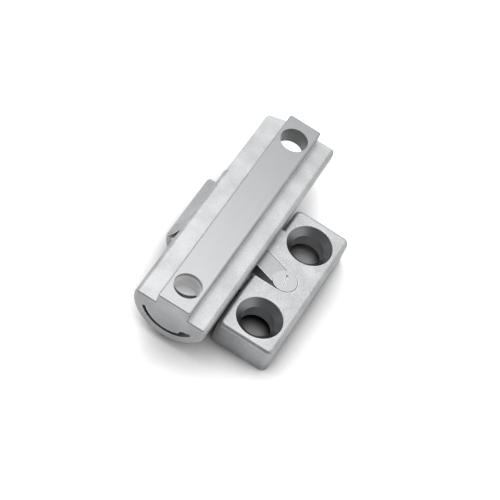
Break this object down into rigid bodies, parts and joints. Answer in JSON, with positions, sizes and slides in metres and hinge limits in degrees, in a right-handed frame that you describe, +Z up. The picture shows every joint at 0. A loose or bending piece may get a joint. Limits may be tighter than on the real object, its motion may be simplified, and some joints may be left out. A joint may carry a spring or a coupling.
{
  "type": "soft-close box hinge",
  "caption": "Cast concealed box hinge: a half-round ribbed door bar turns in the cradle of a countersunk frame leaf, with a small catch lever and a damping liner.",
  "frame": {"origin": "on the frame leaf's seat, midway between its two screw holes", "axes": "+Y along the hinge axis, +Z up out of the seat, the door bar on the -X side"},
  "size_m": [0.0342, 0.062, 0.0142],
  "materials": {
    "cast_zinc": "bare zinc die casting, satin",
    "lever_zinc": "bare zinc die casting, satin",
    "spring_steel": "bright rolled",
    "screw_steel": "black oxide",
    "liner_polymer": "matt"
  },
  "bodies": {
    "frame_half": {"frame_leaf": "cast_zinc", "slide_shoe": "spring_steel", "lock_screw": "screw_steel", "damping_liner": "liner_polymer"},
    "lever_set": {"catch_lever": "lever_zinc", "lever_clip": "spring_steel"},
    "door_half": {"door_bar": "cast_zinc"}
  },
  "joints": [
    {"name": "door_swing", "type": "hinge", "parent": "frame_half", "child": "door_half", "pos_m": [-0.01585, 0.00475, 0.0115], "axis": [0, -1, 0], "range_deg": [0, 90]},
    {"name": "lever_swing", "type": "hinge", "parent": "frame_half", "child": "lever_set", "pos_m": [0, 0, 0.0056], "axis": [0, 0, 1], "range_deg": [0, 18]}
  ]
}
